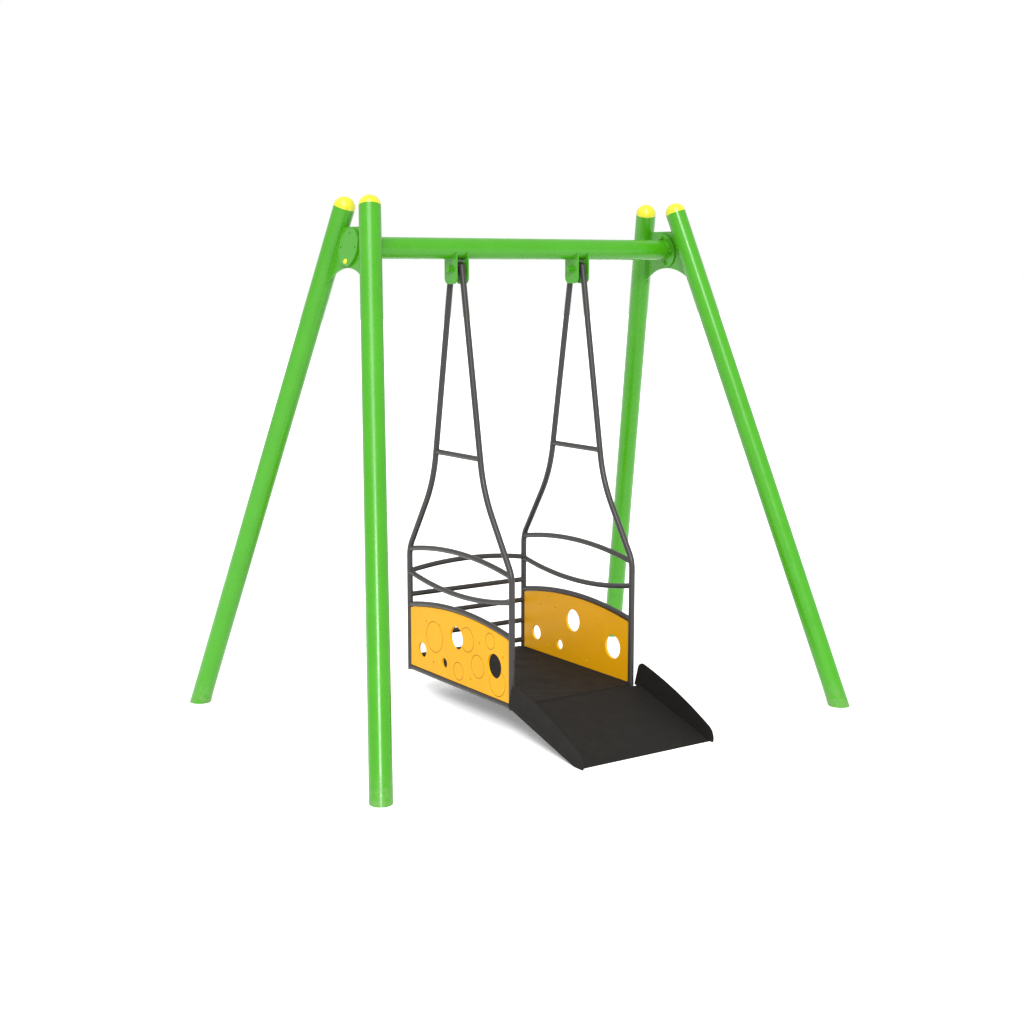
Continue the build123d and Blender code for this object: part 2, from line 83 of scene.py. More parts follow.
# ---------------------------------------------------------------- shader work
class Shade:
    """One node material, built up step by step on object coordinates."""

    def __init__(self, name: str) -> None:
        """Start a material with an empty Principled shader.

        Args:
            name: Name of the material.
        """
        self.material = bpy.data.materials.new(name)
        self.material.use_nodes = True
        self.tree = self.material.node_tree
        self.shader = self.tree.nodes["Principled BSDF"]
        self.coords = self.tree.nodes.new("ShaderNodeTexCoord")

    def node(self, kind: str, **settings: object) -> bpy.types.Node:
        """Add one node.

        Args:
            kind: Blender's type name of the node.
            **settings: Properties to set on it.

        Returns:
            The new node.
        """
        made = self.tree.nodes.new(kind)
        for key, value in settings.items():
            setattr(made, key, value)
        return made

    def feed(self, source: object, target: bpy.types.NodeSocket) -> None:
        """Link a socket to a target, or set the target to a plain value.

        Args:
            source: An output socket, a number or a colour.
            target: The input socket.
        """
        if isinstance(source, bpy.types.NodeSocket):
            self.tree.links.new(source, target)
        elif isinstance(source, (tuple, list)):
            target.default_value = tuple(source) + (1.0,) * (len(target.default_value) - len(source))
        else:
            target.default_value = source

    def stretched(self, scale: Sequence[float]) -> bpy.types.NodeSocket:
        """Object coordinates scaled along each axis.

        Args:
            scale: Factor along X, Y and Z.

        Returns:
            The vector output.
        """
        mapping = self.node("ShaderNodeMapping")
        self.feed(self.coords.outputs["Object"], mapping.inputs["Vector"])
        mapping.inputs["Scale"].default_value = scale
        return mapping.outputs["Vector"]

    def noise(self, scale: float, detail: float = 3.0, vector: object = None) -> bpy.types.NodeSocket:
        """Cloudy noise.

        Args:
            scale: Cells per metre.
            detail: Octaves.
            vector: Coordinates, the object's own when left out.

        Returns:
            The factor output.
        """
        made = self.node("ShaderNodeTexNoise")
        self.feed(vector or self.coords.outputs["Object"], made.inputs["Vector"])
        made.inputs["Scale"].default_value = scale
        made.inputs["Detail"].default_value = detail
        return made.outputs["Fac"]

    def grains(self, scale: float) -> bpy.types.NodeSocket:
        """Distance to the nearest grain of a random scatter.

        Args:
            scale: Grains per metre.

        Returns:
            The distance output.
        """
        made = self.node("ShaderNodeTexVoronoi")
        self.feed(self.coords.outputs["Object"], made.inputs["Vector"])
        made.inputs["Scale"].default_value = scale
        return made.outputs["Distance"]

    def span(self, value: object, low: float, high: float, out_low: float = 0.0,
             out_high: float = 1.0) -> bpy.types.NodeSocket:
        """Carry a range of values to another range, clamped.

        Args:
            value: The input.
            low: Input that gives out_low.
            high: Input that gives out_high.
            out_low: Lowest output.
            out_high: Highest output.

        Returns:
            The result output.
        """
        made = self.node("ShaderNodeMapRange")
        self.feed(value, made.inputs["Value"])
        for key, number in (("From Min", low), ("From Max", high), ("To Min", out_low), ("To Max", out_high)):
            made.inputs[key].default_value = number
        return made.outputs["Result"]

    def math(self, operation: str, first: object, second: object = 0.0) -> bpy.types.NodeSocket:
        """One arithmetic step.

        Args:
            operation: Blender's name of the operation.
            first: First operand.
            second: Second operand.

        Returns:
            The value output.
        """
        made = self.node("ShaderNodeMath", operation=operation)
        self.feed(first, made.inputs[0])
        self.feed(second, made.inputs[1])
        return made.outputs[0]

    def mix(self, factor: object, first: object, second: object) -> bpy.types.NodeSocket:
        """Mix two colours.

        Args:
            factor: Share of the second.
            first: First colour.
            second: Second colour.

        Returns:
            The colour output.
        """
        made = self.node("ShaderNodeMix", data_type="RGBA")
        self.feed(factor, made.inputs[0])
        self.feed(first, made.inputs[6])
        self.feed(second, made.inputs[7])
        return made.outputs[2]

    def axis(self, letter: str, output: str = "Object") -> bpy.types.NodeSocket:
        """One component of the coordinates.

        Args:
            letter: X, Y or Z.
            output: Object for the place, Normal for the direction a face looks.

        Returns:
            The component's output.
        """
        made = self.node("ShaderNodeSeparateXYZ")
        self.feed(self.coords.outputs[output], made.inputs[0])
        return made.outputs[letter]

    def bump(self, height: object, distance: float, strength: float = 1.0) -> bpy.types.NodeSocket:
        """Surface relief.

        Args:
            height: Height, 0 to 1.
            distance: Height in metres of a value of 1.
            strength: How much of it shows.

        Returns:
            The normal output.
        """
        made = self.node("ShaderNodeBump")
        made.inputs["Distance"].default_value = distance
        made.inputs["Strength"].default_value = strength
        self.feed(height, made.inputs["Height"])
        return made.outputs["Normal"]

    def set(self, **values: object) -> None:
        """Set or link the shader's sockets.

        Args:
            **values: Socket names with underscores for spaces.
        """
        for key, value in values.items():
            self.feed(value, self.shader.inputs[key.replace("_", " ")])


@dataclass(frozen=True)
class PowderCoat:
    """Baked powder paint on tube and plate: orange peel, faint mottling, dust where it is low down."""

    name: str
    colour: Colour
    roughness: float = 0.3
    coat: float = 0.35
    shine: float = 0.36
    peel: float = 900.0
    peel_depth: float = 0.00006
    dust: Colour = (0.28, 0.24, 0.18)
    dust_top: float = 0.16
    dust_share: float = 0.25

    def material(self) -> bpy.types.Material:
        """Build the material.

        Returns:
            The finished material.
        """
        shade = Shade(self.name)
        mottle = shade.span(shade.noise(5.0, 5.0), 0.3, 0.7)
        pale = tuple(min(1.0, part * 1.04 + 0.001) for part in self.colour)
        deep = tuple(part * 0.96 for part in self.colour)
        paint = shade.mix(mottle, deep, pale)
        low = shade.span(shade.axis("Z"), 0.0, self.dust_top, self.dust_share, 0.0)
        smudge = shade.math("MULTIPLY", low, shade.span(shade.noise(40.0, 6.0), 0.35, 0.65))
        peel = shade.noise(self.peel, 1.0)
        wear = shade.span(shade.noise(24.0, 8.0), 0.35, 0.75, self.roughness - 0.05, self.roughness + 0.09)
        shade.set(Base_Color=shade.mix(smudge, paint, self.dust), Roughness=shade.math("ADD", wear, smudge),
                  Specular_IOR_Level=self.shine, Coat_Weight=self.coat, Coat_Roughness=0.12,
                  Normal=shade.bump(peel, self.peel_depth))
        return shade.material


@dataclass(frozen=True)
class GritCoat:
    """Black anti-slip paint: sharp grains, with faint paler tracks where wheels roll fore and aft."""

    name: str
    colour: Colour
    grain: float = 700.0
    grain_height: float = 0.0003
    track: Colour = (0.02, 0.0185, 0.0165)

    def material(self) -> bpy.types.Material:
        """Build the material.

        Returns:
            The finished material.
        """
        shade = Shade(self.name)
        streaks = shade.noise(1.0, 6.0, shade.stretched((42.0, 3.0, 42.0)))
        tracks = shade.span(streaks, 0.48, 0.78, 0.0, 0.25)
        upward = shade.span(shade.axis("Z", "Normal"), 0.7, 0.95)
        worn = shade.math("MULTIPLY", tracks, upward)
        grains = shade.span(shade.grains(self.grain), 0.05, 0.55, 1.0, 0.0)
        fine = shade.noise(self.grain * 2.6, 2.0)
        relief = shade.math("MULTIPLY_ADD", fine, 0.35)
        shade.feed(grains, relief.node.inputs[2])
        deep, pale = (tuple(part * share for part in self.colour) for share in (0.75, 1.3))
        paint = shade.mix(grains, deep, pale)
        rough = shade.span(shade.noise(9.0, 6.0), 0.3, 0.7, 0.62, 0.76)
        shade.set(Base_Color=shade.mix(worn, paint, self.track), Roughness=rough, Specular_IOR_Level=0.12,
                  Normal=shade.bump(relief, self.grain_height, 0.7))
        return shade.material


@dataclass(frozen=True)
class SheetPlastic:
    """Grained polyethylene sheet: fine speckle, pebbled face, darker at the bottom of the ring grooves."""

    name: str
    colour: Colour
    speckle: Colour
    groove: Colour
    groove_face: float
    pebble: float = 520.0

    def material(self) -> bpy.types.Material:
        """Build the material.

        Returns:
            The finished material.
        """
        shade = Shade(self.name)
        flecks = shade.span(shade.noise(1500.0, 2.0), 0.56, 0.72, 0.0, 0.34)
        cloud = shade.span(shade.noise(7.0, 4.0), 0.3, 0.7)
        sheet = shade.mix(cloud, tuple(part * 0.94 for part in self.colour), self.colour)
        spotted = shade.mix(flecks, sheet, self.speckle)
        aside = shade.math("ABSOLUTE", shade.axis("X"))
        off = shade.math("ABSOLUTE", shade.math("SUBTRACT", aside, self.groove_face))
        flat = shade.span(shade.math("ABSOLUTE", shade.axis("X", "Normal")), 0.93, 0.99)
        groove = shade.math("MULTIPLY", shade.span(off, 0.0001, 0.0003, 1.0, 0.0), flat)
        pebbles = shade.noise(self.pebble, 2.0)
        streaks = shade.noise(1.0, 5.0, shade.stretched((60.0, 4.0, 60.0)))
        scuff = shade.span(streaks, 0.45, 0.75, 0.36, 0.5)
        shade.set(Base_Color=shade.mix(groove, spotted, self.groove), Roughness=scuff,
                  Specular_IOR_Level=0.12, Normal=shade.bump(pebbles, 0.00012, 0.8))
        return shade.material


@dataclass(frozen=True)
class MouldedCap:
    """Glossy moulded plastic with faint flow marks."""

    name: str
    colour: Colour

    def material(self) -> bpy.types.Material:
        """Build the material.

        Returns:
            The finished material.
        """
        shade = Shade(self.name)
        flow = shade.span(shade.noise(14.0, 4.0), 0.3, 0.7)
        tint = shade.mix(flow, tuple(part * 0.95 for part in self.colour), self.colour)
        gloss = shade.span(shade.noise(60.0, 5.0), 0.3, 0.7, 0.22, 0.34)
        shade.set(Base_Color=tint, Roughness=gloss, Coat_Weight=0.2,
                  Normal=shade.bump(shade.noise(420.0, 2.0), 0.00005))
        return shade.material


@dataclass(frozen=True)
class ZincPlate:
    """Bright zinc plating with a faint blue and yellow bloom."""

    name: str

    def material(self) -> bpy.types.Material:
        """Build the material.

        Returns:
            The finished material.
        """
        shade = Shade(self.name)
        cloud = shade.span(shade.noise(70.0, 4.0), 0.3, 0.7)
        bloom = shade.mix(cloud, (0.52, 0.55, 0.62), (0.62, 0.58, 0.48))
        rough = shade.span(shade.noise(350.0, 5.0), 0.3, 0.7, 0.28, 0.46)
        shade.set(Base_Color=bloom, Metallic=1.0, Roughness=rough,
                  Normal=shade.bump(shade.noise(900.0, 3.0), 0.00004))
        return shade.material


@dataclass(frozen=True)
class SealedBearing:
    """Bearing faces: steel races with a black rubber seal between them, ring by ring off the pivot axis."""

    name: str
    axis_height: float
    inner: float
    outer: float

    def material(self) -> bpy.types.Material:
        """Build the material.

        Returns:
            The finished material.
        """
        shade = Shade(self.name)
        rise = shade.math("SUBTRACT", shade.axis("Z"), self.axis_height)
        square = shade.math("ADD", shade.math("POWER", shade.axis("Y"), 2.0), shade.math("POWER", rise, 2.0))
        radius = shade.math("SQRT", square)
        seal = shade.math("MULTIPLY", shade.span(radius, self.inner, self.inner + 0.0004),
                          shade.span(radius, self.outer - 0.0004, self.outer, 1.0, 0.0))
        steel = shade.span(shade.noise(500.0, 3.0), 0.3, 0.7, 0.24, 0.36)
        ridges = shade.math("SINE", shade.math("MULTIPLY", radius, 4200.0))
        grime = shade.mix(shade.noise(160.0, 4.0), (0.012, 0.012, 0.013), (0.035, 0.033, 0.03))
        shade.set(Base_Color=shade.mix(seal, (0.56, 0.56, 0.57), grime),
                  Metallic=shade.span(seal, 0.0, 1.0, 1.0, 0.0),
                  Roughness=shade.math("ADD", steel, shade.math("MULTIPLY", seal, 0.3)),
                  Normal=shade.bump(ridges, 0.0001, 0.5))
        return shade.material


def dress(material: bpy.types.Material, nodes: Iterable[str]) -> None:
    """Give a finish to CAD nodes.

    Args:
        material: The finish.
        nodes: Names of the nodes.
    """
    for name in nodes:
        for slot in bpy.data.objects[name].material_slots:
            slot.material = material


def both(*stems: str) -> list[str]:
    """Names of the left and right node of each stem."""
    return [f"{stem}_{side}" for stem in stems for side in ("left", "right")]


# ---------------------------------------------------------------- geometry nodes
class Tree:
    """A Geometry Nodes tree with named inputs, ending in Realize Instances and Set Material."""

    def __init__(self, name: str, **numbers: float) -> None:
        """Start a tree.

        Args:
            name: Name of the tree.
            **numbers: Its number inputs and their starting values.
        """
        self.tree = bpy.data.node_groups.new(name, "GeometryNodeTree")
        sockets = self.tree.interface
        sockets.new_socket(name="Geometry", in_out="OUTPUT", socket_type="NodeSocketGeometry")
        sockets.new_socket(name="Geometry", in_out="INPUT", socket_type="NodeSocketGeometry")
        self.ids: dict[str, str] = {}
        for key, value in numbers.items():
            socket = sockets.new_socket(name=key, in_out="INPUT", socket_type="NodeSocketFloat")
            socket.default_value = value
            self.ids[key] = socket.identifier
        socket = sockets.new_socket(name="finish", in_out="INPUT", socket_type="NodeSocketMaterial")
        self.ids["finish"] = socket.identifier
        self.given = self.tree.nodes.new("NodeGroupInput")

    def add(self, kind: str, links: dict[object, object] | None = None, **settings: object) -> bpy.types.Node:
        """Add one node and feed its inputs.

        Args:
            kind: Blender's type name of the node.
            links: Input name or index to an output socket or a value.
            **settings: Properties to set on it.

        Returns:
            The new node.
        """
        made = self.tree.nodes.new(kind)
        for key, value in settings.items():
            setattr(made, key, value)
        for key, value in (links or {}).items():
            if isinstance(value, bpy.types.NodeSocket):
                self.tree.links.new(value, made.inputs[key])
            else:
                made.inputs[key].default_value = value
        return made

    def value(self, operation: str, first: object, second: object = 0.0) -> bpy.types.NodeSocket:
        """One arithmetic step.

        Args:
            operation: Blender's name of the operation.
            first: First operand.
            second: Second operand.

        Returns:
            The value output.
        """
        return self.add("ShaderNodeMath", {0: first, 1: second}, operation=operation).outputs[0]

    def vector(self, operation: str, first: object, second: object) -> bpy.types.NodeSocket:
        """One vector step; SCALE takes a number as its second operand.

        Args:
            operation: Blender's name of the operation.
            first: First operand.
            second: Second operand.

        Returns:
            The vector output.
        """
        key: object = "Scale" if operation == "SCALE" else 1
        return self.add("ShaderNodeVectorMath", {0: first, key: second}, operation=operation).outputs[0]

    def paced(self) -> tuple[bpy.types.Node, bpy.types.NodeSocket]:
        """Turn the incoming paths into evenly stepped curves.

        Returns:
            The resampled curves, and the angle that grows by a full turn with each pitch along them.
        """
        line = self.add("GeometryNodeMeshToCurve", {"Mesh": self.given.outputs["Geometry"]})
        even = self.add("GeometryNodeResampleCurve",
                        {"Curve": line.outputs[0], "Length": self.given.outputs["step"]}, mode="LENGTH")
        along = self.add("GeometryNodeSplineParameter").outputs["Length"]
        turn = self.value("DIVIDE", self.value("MULTIPLY", along, math.tau), self.given.outputs["pitch"])
        return even, turn

    def close(self, geometry: bpy.types.NodeSocket) -> None:
        """End the tree.

        Args:
            geometry: The geometry to hand out.
        """
        smooth = self.add("GeometryNodeSetShadeSmooth", {"Geometry": geometry})
        real = self.add("GeometryNodeRealizeInstances", {"Geometry": smooth.outputs[0]})
        dressed = self.add("GeometryNodeSetMaterial", {"Geometry": real.outputs[0],
                                                       "Material": self.given.outputs["finish"]})
        self.add("NodeGroupOutput", {"Geometry": dressed.outputs[0]})

    def run(self, name: str, paths: Sequence[Path], loops: bool, material: bpy.types.Material,
            **numbers: float) -> bpy.types.Object:
        """Run the tree over a set of paths and keep the result as a plain mesh.

        Args:
            name: Name of the piece.
            paths: Points of each path.
            loops: Whether each path closes on itself.
            material: Finish of the piece.
            **numbers: Values for the tree's number inputs.

        Returns:
            The finished piece, at the origin.
        """
        points: list[Vector] = []
        edges: list[tuple[int, int]] = []
        for path in paths:
            first, count = len(points), len(path)
            points += path
            edges += [(first + i, first + i + 1) for i in range(count - 1)]
            if loops:
                edges.append((first + count - 1, first))
        mesh = bpy.data.meshes.new(name + "_paths")
        mesh.from_pydata(points, edges, [])
        source = bpy.data.objects.new(name + "_paths", mesh)
        bpy.context.scene.collection.objects.link(source)
        modifier = source.modifiers.new(name, "NODES")
        modifier.node_group = self.tree
        modifier[self.ids["finish"]] = material
        for key, number in numbers.items():
            modifier[self.ids[key]] = number
        seen = source.evaluated_get(bpy.context.evaluated_depsgraph_get())
        result = bpy.data.meshes.new_from_object(seen)
        bpy.data.objects.remove(source)
        result.name = name
        if not result.materials:
            result.materials.append(material)
        piece = bpy.data.objects.new(name, result)
        bpy.context.scene.collection.objects.link(piece)
        return piece


def bead_tree() -> Tree:
    """A rippled weld bead along each path.

    Returns:
        The tree, with the bead's radius, its ripple's depth and pitch, and the step along the path.
    """
    tree = Tree("weld bead", radius=0.0026, ripple=0.14, pitch=0.0042, step=0.0014)
    even, turn = tree.paced()
    ripple = tree.value("MULTIPLY", tree.value("SINE", turn), tree.given.outputs["ripple"])
    swell = tree.value("ADD", ripple, 1.0)
    sized = tree.add("GeometryNodeSetCurveRadius", {"Curve": even.outputs[0], "Radius": swell})
    ring = tree.add("GeometryNodeCurvePrimitiveCircle",
                    {"Resolution": 8, "Radius": tree.given.outputs["radius"]})
    bead = tree.add("GeometryNodeCurveToMesh",
                    {"Curve": sized.outputs[0], "Profile Curve": ring.outputs[0], "Fill Caps": True})
    tree.close(bead.outputs[0])
    return tree


def thread_tree() -> Tree:
    """A screw thread wound round each short straight path.

    Returns:
        The tree, with the thread's radius, pitch, ridge size and the step along the path.
    """
    tree = Tree("screw thread", radius=0.008, pitch=0.0015, ridge=0.00055, step=0.00012)
    even, turn = tree.paced()
    normal = tree.add("GeometryNodeInputNormal").outputs[0]
    tangent = tree.add("GeometryNodeInputTangent").outputs[0]
    aside = tree.vector("CROSS_PRODUCT", tangent, normal)
    round_ = tree.vector("ADD", tree.vector("SCALE", normal, tree.value("COSINE", turn)),
                         tree.vector("SCALE", aside, tree.value("SINE", turn)))
    offset = tree.vector("SCALE", round_, tree.given.outputs["radius"])
    wound = tree.add("GeometryNodeSetPosition", {"Geometry": even.outputs[0], "Offset": offset})
    ridge = tree.add("GeometryNodeCurvePrimitiveCircle",
                     {"Resolution": 4, "Radius": tree.given.outputs["ridge"]})
    thread = tree.add("GeometryNodeCurveToMesh",
                      {"Curve": wound.outputs[0], "Profile Curve": ridge.outputs[0], "Fill Caps": True})
    tree.close(thread.outputs[0])
    return tree


# ---------------------------------------------------------------- measuring the CAD tubes
def section(node: str, place: Vector, normal: Vector, reach: float = 0.06) -> Vector:
    """Centre of the cut that a plane makes through a tube.

    Args:
        node: Name of the CAD node.
        place: A point on the plane, near the tube's centre.
        normal: The plane's normal.
        reach: How far from the point the cut is looked for.

    Returns:
        The middle of the cut's box.
    """
    work = bmesh.new()
    work.from_mesh(bpy.data.objects[node].data)
    cut = bmesh.ops.bisect_plane(work, geom=work.verts[:] + work.edges[:] + work.faces[:], plane_co=place,
                                 plane_no=normal)["geom_cut"]
    spots = [item.co.copy() for item in cut if isinstance(item, bmesh.types.BMVert)
             and (item.co - place).length < reach]
    work.free()
    low = Vector(min(spot[i] for spot in spots) for i in range(3))
    high = Vector(max(spot[i] for spot in spots) for i in range(3))
    return (low + high) / 2


def saddle(start: Vector, direction: Vector, radius: float, post: Vector, post_direction: Vector,
           post_radius: float, steps: int = 40) -> Path:
    """The closed line where a tube meets the outside of a post.

    Args:
        start: A point on the tube's axis, clear of the post.
        direction: The tube's direction, away from the post.
        radius: The tube's radius.
        post: A point on the post's axis.
        post_direction: The post's direction.
        post_radius: The post's radius.
        steps: Points on the line.

    Returns:
        The points, in order.
    """
    direction = direction.normalized()
    axis = post_direction.normalized()
    side = direction.cross(axis).normalized()
    up = side.cross(direction)
    flat = direction.cross(axis)
    points = []
    for i in range(steps):
        angle = math.tau * i / steps
        spot = start + (side * math.cos(angle) + up * math.sin(angle)) * radius
        arm = (spot - post).cross(axis)
        a, b, c = flat.dot(flat), 2 * arm.dot(flat), arm.dot(arm) - post_radius ** 2
        root = math.sqrt(max(0.0, b * b - 4 * a * c))
        points.append(spot + direction * (root - b) / (2 * a))
    return points


def mirrored(paths: Iterable[Path]) -> list[Path]:
    """The same paths on the other side of the swing."""
    return [[Vector((-spot.x, spot.y, spot.z)) for spot in path] for path in paths]


def stitches(start: Vector, end: Vector, count: int, length: float) -> list[Path]:
    """Short straight beads spaced evenly between two points.

    Args:
        start: First end of the row.
        end: Other end of the row.
        count: Number of beads.
        length: Length of each.

    Returns:
        One path for each bead.
    """
    run = end - start
    along = run.normalized() * length / 2
    middles = [start + run * (i + 0.5) / count for i in range(count)]
    return [[middle - along, middle, middle + along] for middle in middles]


# ---------------------------------------------------------------- sub-assemblies
@dataclass
class Stand:
    """The two A-frames, the crossbeam and the hanger lugs."""

    tube_radius: float = 0.05715
    leg_top: float = 0.13
    leg_reach: float = 0.2
    plate_half: float = 0.005
    seam_short: float = 0.004
    flange: float = 0.010
    lug: float = 0.008
    boss: float = 0.005
    bolts: int = 4
    bolt_ring: float = 0.0745
    nut_depth: float = 0.028
    thread_out: float = 0.003
    thread_end: float = 0.0006
    bolt_radius: float = 0.006
    bolt_pitch: float = 0.00125
    bolt_ridge: float = 0.00045
    pivot_radius: float = 0.01
    pivot_pitch: float = 0.002
    pivot_end: float = 0.0008
    weld: float = 0.0034
    green: PowderCoat = PowderCoat("green powder coat", (0.038, 0.238, 0.003), 0.29, 0.08)
    yellow: MouldedCap = MouldedCap("yellow moulded plastic", (0.5, 0.47, 0.007))
    paint: bpy.types.Material = field(init=False)

    def dress(self) -> None:
        """Give each CAD node of the stand its finish."""
        self.paint = self.green.material()
        dress(self.paint, ["crossbeam"] + both(
            "leg_front", "leg_rear", "gusset_plate", "clamp_disc", "beam_flange", "hanger_lugs",
            "flange_bolts", "flange_nuts", "pivot_bolt", "pivot_nut"))
        dress(self.yellow.material(), ["bolt_covers"] + both("leg_cap_front", "leg_cap_rear"))

    def leg_line(self, place: str, low: float, high: float) -> tuple[Vector, Vector]:
        """Two points on a right-hand leg's axis.

        Args:
            place: front or rear.
            low: Height of the first.
            high: Height of the second.

        Returns:
            The two points.
        """
        node = f"leg_{place}_right"
        foot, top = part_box(node)
        sign = -1 if place == "front" else 1
        ends = []
        for height in (low, high):
            share = height / top[2]
            near = Vector((foot[0] * share + top[0] * (1 - share), 0, height))
            out = (abs(foot[1]) if sign < 0 else top[1]) - self.tube_radius
            near.y = sign * (out * (1 - share) + self.leg_top * share)
            ends.append(section(node, near, Vector((0, 0, 1)), self.leg_reach))
        return ends[0], ends[1]

    def beam_level(self) -> float:
        """Height of the crossbeam's axis."""
        return (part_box("crossbeam")[0][2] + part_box("crossbeam")[1][2]) / 2

    def a_frame(self) -> tuple[Vector, Vector]:
        """The plane of the right A-frame.

        Returns:
            A point on it, and its outward normal.
        """
        front, rear = self.leg_line("front", 0.5, 2.3), self.leg_line("rear", 0.5, 2.3)
        normal = (front[1] - front[0]).cross(rear[1] - rear[0]).normalized()
        normal *= math.copysign(1.0, normal.x)
        return (front[0] + rear[0]) / 2, normal

    def gusset_beads(self, normal: Vector) -> list[Path]:
        """Beads along both faces of the right gusset plate, on each leg.

        Args:
            normal: Outward normal of the A-frame.

        Returns:
            The paths.
        """
        low, high = (corner[2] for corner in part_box("gusset_plate_right"))
        paths = []
        for place, sign in (("front", 1), ("rear", -1)):
            foot, top = self.leg_line(place, low + self.seam_short, high - self.seam_short)
            inward = (top - foot).cross(normal).normalized()
            inward *= math.copysign(1.0, inward.y * sign)
            for face in (-1, 1):
                depth = math.sqrt(self.tube_radius ** 2 - self.plate_half ** 2)
                off = inward * depth + normal * face * self.plate_half
                paths.append([foot + off, (foot + top) / 2 + off, top + off])
        return paths

    def beads(self) -> tuple[list[Path], list[Path]]:
        """Every bead of the right half.

        Returns:
            The closed paths, then the open ones.
        """
        beam = self.beam_level()
        middle, normal = self.a_frame()
        face = middle - normal * (self.plate_half + self.flange)
        ring = []
        for i in range(72):
            angle = math.tau * i / 72
            y, z = self.tube_radius * math.cos(angle), beam + self.tube_radius * math.sin(angle)
            x = face.x - (normal.z * (z - face.z)) / normal.x
            ring.append(Vector((x, y, z)))
        arcs = []
        low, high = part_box("hanger_lugs_right")
        horn = math.asin((high[2] - beam) / self.tube_radius)
        inner, outer = low[0] + self.boss, high[0] - self.boss
        for x in (inner, inner + self.lug, outer - self.lug, outer):
            arcs.append([Vector((x, self.tube_radius * math.cos(t), beam + self.tube_radius * math.sin(t)))
                         for t in (horn - (math.pi + 2 * horn) * i / 30 for i in range(31))])
        return [ring], self.gusset_beads(normal) + arcs

    def threads(self) -> list[Path]:
        """The bolt ends that stand out of the right flange's nuts.

        Returns:
            One straight path for each bolt.
        """
        beam = self.beam_level()
        middle, normal = self.a_frame()
        up = Vector((-normal.z, 0, normal.x))
        hub = middle + up * (beam - middle.z) / up.z
        paths = []
        for i in range(self.bolts):
            angle = math.tau * i / self.bolts
            spot = hub + (Vector((0, 1, 0)) * math.cos(angle) + up * math.sin(angle)) * self.bolt_ring
            nut = spot - normal * self.nut_depth
            paths.append([nut, nut - normal * (self.thread_out - self.thread_end)])
        return paths

    def pivot_stubs(self) -> list[Path]:
        """The bolt end that stands out of the right pivot nut.

        Returns:
            One straight path.
        """
        low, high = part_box("pivot_bolt_right")
        middle = [(low[i] + high[i]) / 2 for i in range(3)]
        return [[Vector((low[0] + off, middle[1], middle[2])) for off in (self.thread_out, self.pivot_end)]]

    def build(self, bead: Tree, thread: Tree) -> list[bpy.types.Object]:
        """Make the stand's own pieces.

        Args:
            bead: The weld tree.
            thread: The screw thread tree.

        Returns:
            The pieces.
        """
        loops, lines = self.beads()
        pieces = [bead.run("stand_ring_welds", loops + mirrored(loops), True, self.paint, radius=self.weld),
                  bead.run("stand_seam_welds", lines + mirrored(lines), False, self.paint, radius=self.weld)]
        stubs = self.threads()
        pieces.append(thread.run("flange_bolt_threads", stubs + mirrored(stubs), False, self.paint,
                                 radius=self.bolt_radius, pitch=self.bolt_pitch, ridge=self.bolt_ridge))
        stubs = self.pivot_stubs()
        pieces.append(thread.run("pivot_bolt_threads", stubs + mirrored(stubs), False, self.paint,
                                 radius=self.pivot_radius, pitch=self.pivot_pitch))
        return pieces


